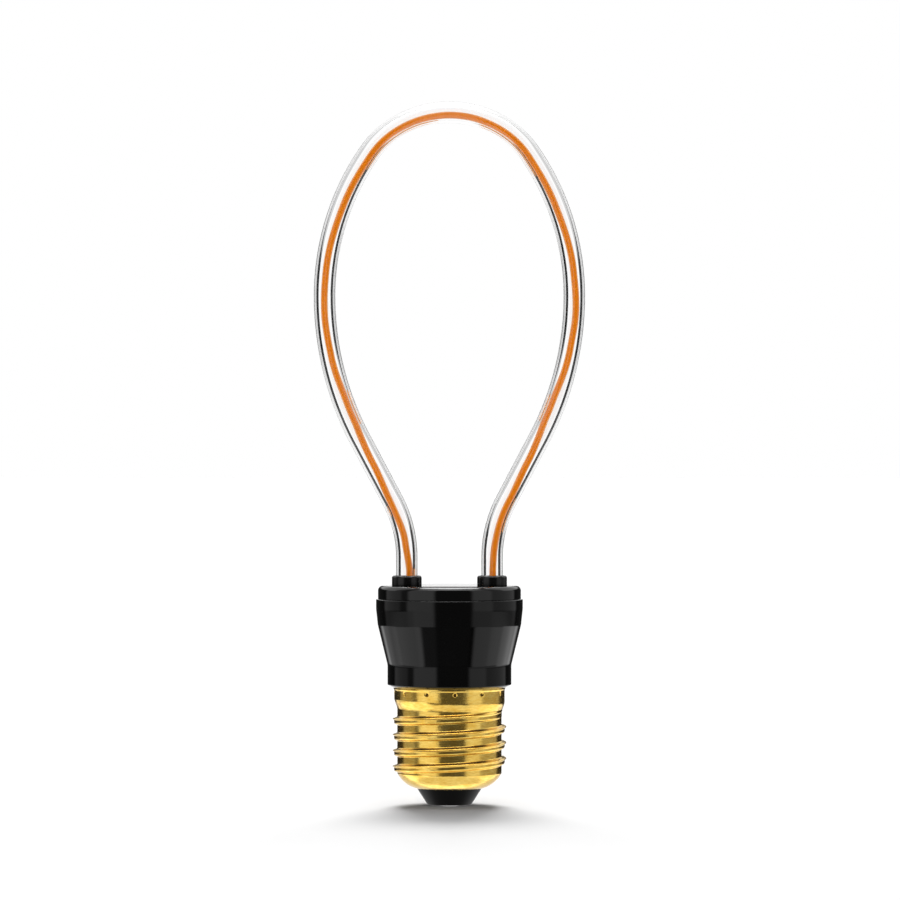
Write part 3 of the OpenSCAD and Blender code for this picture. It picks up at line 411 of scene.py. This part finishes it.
def build_shell():
    """The rolled sheet: dome, thread, neck and punched band, with its inside and both edges."""
    sides = 420
    angles = 360 * np.arange(sides) / sides
    rad = np.radians(angles)
    centre, arc = dome_outline(18)
    heights = np.concatenate([np.arange(THREAD_Z + 0.06, BAND_Z + 0.4, 0.05),
                              np.arange(BAND_Z + 0.5, SHELL_TOP_Z, 0.1), [SHELL_TOP_Z]])
    outer, painted_shades = [], []
    for a in arc:
        r, z = centre[0] + DOME_R * math.cos(a), centre[1] + DOME_R * math.sin(a)
        outer.append((np.full(sides, r), np.full(sides, z)))
        painted_shades.append(np.zeros(sides))
    for z in heights:
        r, dark = shell_row(angles, z)
        outer.append((r, np.full(sides, z)))
        painted_shades.append(dark)
    verts = []
    for r, z in outer:
        verts += list(zip(r * np.cos(rad), r * np.sin(rad), z))
    rows = len(outer)
    # The inside of the sheet, with fewer rows
    inner_rows = sorted(set(range(0, len(arc), 2)) | set(range(len(arc), rows, 5)) | {rows - 1})
    for k in inner_rows:
        r, z = outer[k]
        lean = arc[k] if k < len(arc) else 0.0
        r, z = r - SHEET * math.cos(lean), z - SHEET * math.sin(lean)
        verts += list(zip(r * np.cos(rad), r * np.sin(rad), z))
    faces = grid_faces(rows, sides)
    faces += grid_faces(len(inner_rows), sides, rows * sides, flip=True)
    # The sheet's edges at the lip and at the top
    last = (rows + len(inner_rows) - 1) * sides
    for first, second, flip in ((0, rows * sides, False), ((rows - 1) * sides, last, True)):
        for j in range(sides):
            a, b = first + j, first + (j + 1) % sides
            c, d = second + (j + 1) % sides, second + j
            faces.append((a, b, c, d) if flip else (a, d, c, b))
    obj = mesh_object("brass_shell", verts, faces, 50)
    # A point attribute carries the painted shade of the thread's corner and the punch marks to the material
    painted_shade = obj.data.attributes.new("painted_shade", "FLOAT", "POINT")
    values = np.concatenate(painted_shades)
    painted_shade.data.foreach_set("value", np.pad(values, (0, len(verts) - len(values))).astype(np.float32))
    return obj


# Housing, cover and collars

def build_housing():
    """The moulded housing with its neck, and the groove that the cover snaps into."""
    rim_in_r = RIM_R - WALL
    snap_z = SEAM_Z - SNAP_DROP
    foot_in_z = HOUSING_Z + 1.4
    outline = rounded([
        (NECK_IN_R, NECK_FOOT_Z), (NECK_R, NECK_FOOT_Z), (NECK_R, BAND_Z), (NECK_TOP_R, BAND_Z + 0.7),
        (NECK_TOP_R, HOUSING_Z), (WAIST_R - 1.05, HOUSING_Z), (WAIST_R, HOUSING_Z + 0.6, 0.25),
        (WAIST_R, WAIST_TOP_Z, 4), (HOUSING_SHOULDER_R, SHOULDER_Z, 2), (RIM_R, SEAM_Z - 2.2, 6),
        (RIM_R, SEAM_Z, 0.18), (rim_in_r, SEAM_Z), (rim_in_r, snap_z + 0.5), (SPIGOT_R + 0.35, snap_z),
        (rim_in_r, snap_z - 0.5), (rim_in_r, SEAM_Z - 3.0), (HOUSING_SHOULDER_R - WALL, SHOULDER_Z),
        (WAIST_R - WALL, WAIST_TOP_Z), (WAIST_R - WALL, foot_in_z), (NECK_IN_R, foot_in_z)], 12)
    return revolve("moulded_housing", outline, 256)


def disc(name, radius, low, high, sides, side):
    """A solid disc on a leg's axis, used for joining to the cover or cutting it."""
    return revolve(name, [(0, low), (radius, low), (radius, high), (0, high)], sides, side * LEG_X)


def build_cover():
    """The moulded cover with its spigot, and a boss with a socket and a seat for each leg."""
    top, foot = COVER_TOP_Z, SEAM_Z + 0.05
    under, snap_z = top - WALL, SEAM_Z - SNAP_DROP
    spigot_in_r, spigot_z = SPIGOT_R - SPIGOT_WALL, SEAM_Z - SPIGOT_H
    outline = rounded([
        (0, top), (COVER_R, top, COVER_EDGE_R), (COVER_R, foot, 0.12), (SPIGOT_R, foot),
        (SPIGOT_R, snap_z + 0.45), (SPIGOT_R + 0.3, snap_z), (SPIGOT_R, snap_z - 0.45),
        (SPIGOT_R, spigot_z), (spigot_in_r, spigot_z), (spigot_in_r, under), (0, under)], 12)[::-1]
    body = revolve("moulded_cover", outline, 256)
    parts = []
    for side in (-1, 1):
        parts += [("UNION", disc("boss", BOSS_R, BOSS_Z, under + 0.5, 64, side)),
                  ("DIFFERENCE", disc("seat", COLLAR_R + 0.05, top - SEAT_DROP, top + 0.5, 96, side)),
                  ("DIFFERENCE", disc("socket", SOCKET_R, TUBE_FOOT_Z, top, 64, side)),
                  ("DIFFERENCE", disc("drain", PLUG_BORE_R - 0.05, DRAIN_LOW_Z, DRAIN_HIGH_Z, 48, side))]
    for kind, tool in sorted(parts, key=lambda p: p[0] != "UNION"):
        cut = body.modifiers.new(tool.name, "BOOLEAN")
        cut.operation, cut.object, cut.solver = kind, tool, "EXACT"
    bpy.context.view_layer.update()
    done = bpy.data.meshes.new_from_object(body.evaluated_get(bpy.context.evaluated_depsgraph_get()))
    body.modifiers.clear()
    body.data = done
    # The cuts leave points within a hair of each other and a few thin gaps
    work = bmesh.new()
    work.from_mesh(done)
    bmesh.ops.remove_doubles(work, verts=work.verts, dist=HAIR)
    bmesh.ops.holes_fill(work, edges=[e for e in work.edges if e.is_boundary], sides=12)
    bmesh.ops.triangulate(work, faces=[f for f in work.faces if len(f.verts) > 4])
    bmesh.ops.recalc_face_normals(work, faces=work.faces)
    work.to_mesh(done)
    work.free()
    for _, tool in parts:
        bpy.data.objects.remove(tool)
    done.shade_smooth()
    done.set_sharp_from_angle(angle=math.radians(SHARP_ANGLE))
    return body


def build_collar(side, name):
    """A collar round one leg, with its foot in the cover's seat."""
    top = COVER_TOP_Z
    outline = rounded([
        (COLLAR_BORE_R, top - COLLAR_FOOT_H), (COLLAR_FOOT_R, top - COLLAR_FOOT_H),
        (COLLAR_FOOT_R, top + 0.025), (COLLAR_R, top + 0.025, 0.06), (COLLAR_R, top + COLLAR_H, 0.5),
        (COLLAR_BORE_R, top + COLLAR_H, 0.12)], 6)
    return revolve(name, outline, 96, side * LEG_X)


tube = build_tube()
filament = build_filament()
shell = build_shell()
housing = build_housing()
cover = build_cover()
collars = [build_collar(-1, "collar_left"), build_collar(1, "collar_right")]

PAIRS = [(tube, "light_tube", "clear_tube"), (filament, "led_filament", "phosphor"),
         (shell, "screw_shell", "cap_brass"), (housing, "housing_body", "housing_black"),
         (cover, "top_cover", "cover_black"), (collars[0], "tube_collar_left", "collar_black"),
         (collars[1], "tube_collar_right", "collar_black")]
for piece, node, slot in PAIRS:
    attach(piece, "root")
    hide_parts(node)


# Materials

class Nodes:
    """A small builder of node trees."""

    def __init__(self, tree):
        self.tree = tree
        self.place = 0

    def add(self, kind):
        node = self.tree.nodes.new(kind)
        self.place += 1
        node.location = (200 * (self.place % 12), -220 * (self.place // 12))
        return node

    def link(self, a, b):
        self.tree.links.new(a, b)

    def math(self, op, *values):
        node = self.add("ShaderNodeMath")
        node.operation = op
        for socket, v in zip(node.inputs, values):
            if isinstance(v, (int, float)):
                socket.default_value = v
            else:
                self.link(v, socket)
        return node.outputs[0]

    def step(self, value, low, high):
        """0 below low and 1 above high, smooth between."""
        node = self.add("ShaderNodeMapRange")
        node.interpolation_type = "SMOOTHSTEP"
        self.link(value, node.inputs["Value"])
        node.inputs["From Min"].default_value = low
        node.inputs["From Max"].default_value = high
        return node.outputs["Result"]

    def band(self, value, low, high, soft):
        """1 between low and high, 0 outside, with soft edges."""
        rise = self.step(value, low - soft / 2, low + soft / 2)
        fall = self.step(value, high - soft / 2, high + soft / 2)
        return self.math("MULTIPLY", rise, self.math("SUBTRACT", 1.0, fall))

    def noise(self, scale, detail, stretch=None):
        tex = self.add("ShaderNodeTexCoord")
        vector = tex.outputs["Object"]
        if stretch:
            mapping = self.add("ShaderNodeMapping")
            mapping.inputs["Scale"].default_value = stretch
            self.link(vector, mapping.inputs["Vector"])
            vector = mapping.outputs[0]
        node = self.add("ShaderNodeTexNoise")
        node.inputs["Scale"].default_value = scale
        node.inputs["Detail"].default_value = detail
        self.link(vector, node.inputs["Vector"])
        return node.outputs["Fac"]

    def ramp(self, fac, stops):
        """Colours at places from 0 to 1."""
        node = self.add("ShaderNodeValToRGB")
        ramp = node.color_ramp
        while len(ramp.elements) < len(stops):
            ramp.elements.new(0.5)
        for element, (at, colour) in zip(ramp.elements, stops):
            element.position = at
            element.color = (*colour, 1)
        self.link(fac, node.inputs["Fac"])
        return node.outputs["Color"]

    def mix(self, fac, a, b):
        node = self.add("ShaderNodeMix")
        node.data_type = "RGBA"
        for socket, v in ((node.inputs[0], fac), (node.inputs[6], a), (node.inputs[7], b)):
            if isinstance(v, (int, float)):
                socket.default_value = v
            elif isinstance(v, tuple):
                socket.default_value = (*v, 1)
            else:
                self.link(v, socket)
        return node.outputs[2]

    def remap(self, value, low, high):
        """Takes a value of 0 to 1 to the span from low to high."""
        node = self.add("ShaderNodeMapRange")
        self.link(value, node.inputs["Value"])
        node.inputs["To Min"].default_value = low
        node.inputs["To Max"].default_value = high
        return node.outputs["Result"]

    def bump(self, height, distance):
        node = self.add("ShaderNodeBump")
        node.inputs["Distance"].default_value = distance
        self.link(height, node.inputs["Height"])
        return node.outputs["Normal"]


def material(name, **values):
    """A material with constant values on its Principled shader, with its node builder and shader."""
    mat = bpy.data.materials.new(name)
    mat.use_nodes = True
    shader = mat.node_tree.nodes["Principled BSDF"]
    for key, value in values.items():
        socket = shader.inputs[key.replace("_", " ")]
        socket.default_value = (*value, 1) if isinstance(value, tuple) else value
    return mat, Nodes(mat.node_tree), shader


def plastic(name, colour, rough, shine=0.5):
    """Moulded plastic: clouded colour, uneven roughness and a fine grain."""
    mat, n, shader = material(name, IOR=1.5, Specular_IOR_Level=shine)
    low, high = (tuple(c * share for c in colour) for share in (0.86, 1.14))
    n.link(n.ramp(n.noise(260, 4), [(0.3, low), (0.7, high)]), shader.inputs["Base Color"])
    n.link(n.remap(n.noise(1500, 3), rough * 0.8, rough * 1.25), shader.inputs["Roughness"])
    n.link(n.bump(n.noise(9000, 2), 2e-6), shader.inputs["Normal"])
    return mat


def metal(name, colour, dark, rough):
    """Plain metal: two tints in patches, uneven roughness and a fine grain."""
    mat, n, shader = material(name, Metallic=1.0)
    n.link(n.ramp(n.noise(900, 4), [(0.35, dark), (0.65, colour)]), shader.inputs["Base Color"])
    n.link(n.remap(n.noise(2700, 3), rough * 0.75, rough * 1.3), shader.inputs["Roughness"])
    n.link(n.bump(n.noise(5400, 3), 3e-6), shader.inputs["Normal"])
    return mat


def glass():
    """Clear glass, very slightly wavy."""
    mat, n, shader = material("clear_tube", Base_Color=(1.0, 1.0, 1.0), Roughness=0.0, IOR=1.5,
                              Transmission_Weight=1.0)
    n.link(n.bump(n.noise(160, 1), 4e-6), shader.inputs["Normal"])
    return mat


def phosphor():
    """The filament's orange coating, paler at its edges, partly its own colour and partly painted light through
    the thin coating, with a faint painted glow although it is switched off.
    """
    # Painted glow: a faint orange emission that brightens the coating although the filament is switched off
    mat, n, shader = material("phosphor", Roughness=0.6, IOR=1.4, Specular_IOR_Level=0.1,
                              Emission_Color=(1.0, 0.18, 0.0), Emission_Strength=0.11)
    attribute = n.add("ShaderNodeAttribute")
    attribute.attribute_name = "edge"
    face = n.ramp(n.noise(1300, 3), [(0.3, (0.88, 0.22, 0.0)), (0.7, (0.98, 0.285, 0.001))])
    # The edges are mixed towards pale orange: partly the thinner coating's own colour, partly painted light
    # through it
    n.link(n.mix(attribute.outputs["Fac"], face, (0.98, 0.5, 0.2)), shader.inputs["Base Color"])
    n.link(n.bump(n.noise(2600, 3), 1.5e-5), shader.inputs["Normal"])
    return mat


def brass():
    """Rolled brass: two tints, painted shade in the corner above the thread and in the punch marks, and waves
    drawn out by the rolling.
    """
    mat, n, shader = material("cap_brass", Metallic=1.0)
    mottle = n.math("MULTIPLY", n.math("ADD", n.noise(240, 4), n.noise(800, 3, stretch=(1, 1, 4))), 0.5)
    tint = n.ramp(mottle, [(0.36, (0.8, 0.475, 0.07)), (0.64, (0.97, 0.69, 0.18))])
    painted_shade = n.add("ShaderNodeAttribute")
    painted_shade.attribute_name = "painted_shade"
    # Painted shade: the tint is mixed towards near-black brown where the painted-shade attribute is high
    n.link(n.mix(painted_shade.outputs["Fac"], tint, (0.03, 0.011, 0.002)), shader.inputs["Base Color"])
    n.link(n.remap(n.noise(900, 4, stretch=(1, 1, 3)), 0.1, 0.24), shader.inputs["Roughness"])
    waves = n.noise(190, 2, stretch=(1, 1, 0.7))
    lines = n.noise(260, 3, stretch=(1, 1, 7))
    grain = n.noise(2400, 3)
    uneven = n.math("ADD", n.math("MULTIPLY", waves, 1.8), n.math("ADD", n.math("MULTIPLY", lines, 0.6),
                                                                  n.math("MULTIPLY", grain, 0.16)))
    n.link(n.bump(uneven, 7e-5), shader.inputs["Normal"])
    return mat


tube.data.materials.append(glass())
filament.data.materials.append(phosphor())
shell.data.materials.append(brass())
BLACK = (0.0042, 0.004, 0.0038)
housing.data.materials.append(plastic("housing_black", BLACK, 0.08, shine=0.28))
cover.data.materials.append(plastic("cover_black", BLACK, 0.07, shine=0.36))
for collar in collars:
    collar.data.materials.append(plastic("collar_black", (0.004, 0.004, 0.004), 0.2, shine=0.3))

# The inside, the insulator and the contact are shown with the CAD's own meshes
INNER = {
    "tinned": metal("tinned", (0.62, 0.62, 0.61), (0.42, 0.42, 0.42), 0.3),
    "silicone": plastic("silicone", (0.72, 0.72, 0.70), 0.4),
    "adhesive": plastic("adhesive", (0.55, 0.52, 0.44), 0.35),
    "insulator_black": plastic("insulator_black", (0.004, 0.0036, 0.003), 0.3, shine=0.06),
    "contact_metal": metal("contact_metal", (0.74, 0.72, 0.68), (0.55, 0.53, 0.50), 0.22),
    "board_laminate": plastic("board_laminate", (0.62, 0.58, 0.42), 0.5),
    "capacitor_sleeve": plastic("capacitor_sleeve", (0.02, 0.03, 0.09), 0.35),
    "film_red": plastic("film_red", (0.36, 0.03, 0.02), 0.3),
    "ferrite": plastic("ferrite", (0.035, 0.033, 0.032), 0.6),
    "copper_wire": metal("copper_wire", (0.78, 0.30, 0.14), (0.55, 0.19, 0.08), 0.3),
    "chip_black": plastic("chip_black", (0.02, 0.02, 0.02), 0.5),
    "chip_tan": plastic("chip_tan", (0.33, 0.24, 0.15), 0.45),
    "resistor_body": plastic("resistor_body", (0.20, 0.36, 0.42), 0.4),
    "sleeve_white": plastic("sleeve_white", (0.75, 0.74, 0.70), 0.55),
    "solder": metal("solder", (0.66, 0.66, 0.67), (0.48, 0.48, 0.49), 0.28),
    "lead_black": plastic("lead_black", (0.02, 0.02, 0.02), 0.45),
    "lead_red": plastic("lead_red", (0.45, 0.02, 0.015), 0.45),
}
shown = {node for _, node, _ in PAIRS}
for node, obj in NODES.items():
    if node in shown:
        continue
    for slot in obj.material_slots:
        key = slot.material.name.split(".")[0] if slot.material else ""
        if key in INNER:
            slot.material = INNER[key]
        else:
            print("slot without a material:", node, key)


# Floor, light and camera

def build_floor():
    """A wide pale table; its slight glow takes it to white in the camera's view only."""
    mesh = bpy.data.meshes.new("floor")
    s = 12.0
    mesh.from_pydata([(-s, -s, 0), (s, -s, 0), (s, s, 0), (-s, s, 0)], [], [(0, 1, 2, 3)])
    obj = bpy.data.objects.new("floor", mesh)
    bpy.context.scene.collection.objects.link(obj)
    mat = bpy.data.materials.new("floor")
    mat.use_nodes = True
    tree = mat.node_tree
    tree.nodes.clear()
    n = Nodes(tree)
    diffuse = n.add("ShaderNodeBsdfDiffuse")
    diffuse.inputs["Color"].default_value = (0.92, 0.92, 0.92, 1)
    glow = n.add("ShaderNodeEmission")
    path = n.add("ShaderNodeLightPath")
    n.link(n.math("MULTIPLY", path.outputs["Is Camera Ray"], 0.04), glow.inputs["Strength"])
    both = n.add("ShaderNodeAddShader")
    n.link(diffuse.outputs[0], both.inputs[0])
    n.link(glow.outputs[0], both.inputs[1])
    out = n.add("ShaderNodeOutputMaterial")
    n.link(both.outputs[0], out.inputs["Surface"])
    obj.data.materials.append(mat)
    obj.visible_glossy = obj.visible_transmission = obj.visible_diffuse = obj.visible_shadow = False


def build_world():
    """Soft boxes as seen by diffuse and glossy rays; clear glass sees a white room with two dark panels."""
    world = bpy.data.worlds.new("studio")
    bpy.context.scene.world = world
    world.use_nodes = True
    tree = world.node_tree
    tree.nodes.clear()
    n = Nodes(tree)
    tex = n.add("ShaderNodeTexCoord")
    split = n.add("ShaderNodeSeparateXYZ")
    n.link(tex.outputs["Generated"], split.inputs[0])
    x, y, z = split.outputs
    degree = 180 / math.pi
    azimuth = n.math("MULTIPLY", n.math("ARCTAN2", x, n.math("MULTIPLY", y, -1.0)), degree)
    elevation = n.math("MULTIPLY", n.math("ARCSINE", z), degree)
    back = n.math("SUBTRACT", 180.0, n.math("ABSOLUTE", azimuth))

    # Azimuth is 0 in front and grows to the right, and back is the angle from straight behind, all in degrees
    def panel(az, el, strength, soft=8, soft_el=8, across=azimuth):
        shape = n.math("MULTIPLY", n.band(across, az[0], az[1], soft), n.band(elevation, el[0], el[1], soft_el))
        return n.math("MULTIPLY", shape, strength)

    def room(base, lights):
        total = base
        for light in lights:
            total = n.math("ADD", light, total)
        return total

    def choose(flag, yes, no):
        return n.math("ADD", n.math("MULTIPLY", flag, yes),
                      n.math("MULTIPLY", n.math("SUBTRACT", 1.0, flag), no))

    # Floor and other matt surfaces: a long soft box over the lamp, brighter towards the back. In degrees, lateral
    # is the angle to the right of the YZ plane, and over is 0 behind, 90 overhead and 180 in front
    lateral = n.math("MULTIPLY", n.math("ARCSINE", x), degree)
    over = n.math("MULTIPLY", n.math("ARCTAN2", z, y), degree)
    main = n.math("MULTIPLY", n.band(over, 36, 62, 8), 16.0)
    top = n.math("MULTIPLY", n.band(over, 62, 104, 10), 3.1)
    long_box = n.math("MULTIPLY", n.band(lateral, -12, 12, 6), n.math("ADD", main, top))
    front = n.math("MULTIPLY", n.math("MULTIPLY", n.band(lateral, -26, 26, 12), n.band(over, 138, 158, 8)), 1.8)
    matt = room(0.01, [long_box, front])
    # Metal and gloss: soft boxes left, right and overhead, a pale table and the bright backdrop
    gloss = room(0.03, [
        panel((-24, 38), (-50, 60), 0.075),
        panel((-70, -24), (-8, 60), 1.0),
        panel((-84, -70), (-8, 60), 0.15),
        panel((-122, -84), (-8, 60), 0.42),
        panel((37, 72), (-8, 60), 0.85),
        panel((72, 128), (-8, 60), 0.45),
        panel((-70, -24), (-18, -8), 0.75),
        panel((37, 72), (-18, -8), 0.6),
        panel((-60, -24), (-50, -8), 0.2),
        panel((-137, -50), (-48, -18), 1.35),
        panel((-137, -100), (-48, -14), 0.35),
        panel((44, 76), (-48, -18), 1.05),
        panel((76, 100), (-48, -18), 1.3),
        panel((100, 140), (-48, -14), 1.5),
        panel((138, 200), (-72, -10), 0.8, 10, 4),
        panel((-200, -138), (-72, -10), 0.8, 10, 4),
        panel((-200, 200), (-100, -47), 0.85),
        panel((-50, 44), (-47, -33), 0.85, 8, 5),
        panel((8, 80), (14, 75), 1.0, 8, 8, back),
        panel((-75, 75), (52, 84), 5.0),
        panel((-200, 200), (84, 100), 1.0),
        panel((-20, 15), (34, 68), 4.0, 6, 8, back),
        panel((-20, 9), (-12, 4), 1.1, 3, 3, back),
        panel((-50, 50), (58, 92), 14.0, 12, 8, back),
        panel((-148, -70), (-16, -10), 0.6, 8, 3),
        panel((72, 148), (-16, -10), 0.7, 8, 3),
    ])
    # Through the clear tube: a white room with dark panels beside the backdrop
    path = n.add("ShaderNodeLightPath")
    facing = n.math("MINIMUM", back, n.math("ABSOLUTE", azimuth))
    wide = n.math("MULTIPLY", n.step(facing, 10, 16), n.math("SUBTRACT", 1.0, n.step(facing, 74, 88)))
    thin = n.math("MULTIPLY", n.band(facing, 55, 66, 5), 0.85)
    tall = n.math("ADD", n.band(elevation, -39, 11, 7), n.math("MULTIPLY", n.band(elevation, 11, 36, 7), 0.35))
    once = n.math("LESS_THAN", path.outputs["Transmission Depth"], 3.0)
    bounced = n.math("GREATER_THAN", path.outputs["Glossy Depth"], 0.5)
    lit = n.math("GREATER_THAN", path.outputs["Diffuse Depth"], 0.5)
    dark = n.math("MULTIPLY", once, n.math("MULTIPLY", tall, choose(bounced, wide, thin)))
    clear = n.math("SUBTRACT", 1.0, n.math("MULTIPLY", dark, n.math("SUBTRACT", 1.0, lit)))
    # Light thrown back by shiny pieces onto matt ones is dimmed, as the lamp shades the table there
    gloss = n.math("MULTIPLY", gloss, n.remap(lit, 1.0, 0.12))

    seen = choose(path.outputs["Is Glossy Ray"], gloss, matt)
    seen = choose(path.outputs["Is Transmission Ray"], clear, seen)
    seen = choose(path.outputs["Is Camera Ray"], 1.0, seen)
    shader = n.add("ShaderNodeBackground")
    shader.inputs["Color"].default_value = (1, 1, 1, 1)
    n.link(seen, shader.inputs["Strength"])
    out = n.add("ShaderNodeOutputWorld")
    n.link(shader.outputs[0], out.inputs["Surface"])


build_floor()
build_world()

FOCAL_MM, SENSOR_MM = 177.6, 36
CAMERA_AT = (0.00013, -1.0207, 0.0817)
camera = bpy.data.objects.new("camera", bpy.data.cameras.new("camera"))
camera.data.lens = FOCAL_MM
camera.data.sensor_width = SENSOR_MM
camera.location = CAMERA_AT
camera.rotation_euler = (math.radians(90), 0, 0)
bpy.context.scene.collection.objects.link(camera)
bpy.context.scene.camera = camera

bpy.context.scene.view_settings.view_transform = "Standard"

bpy.context.view_layer.update()
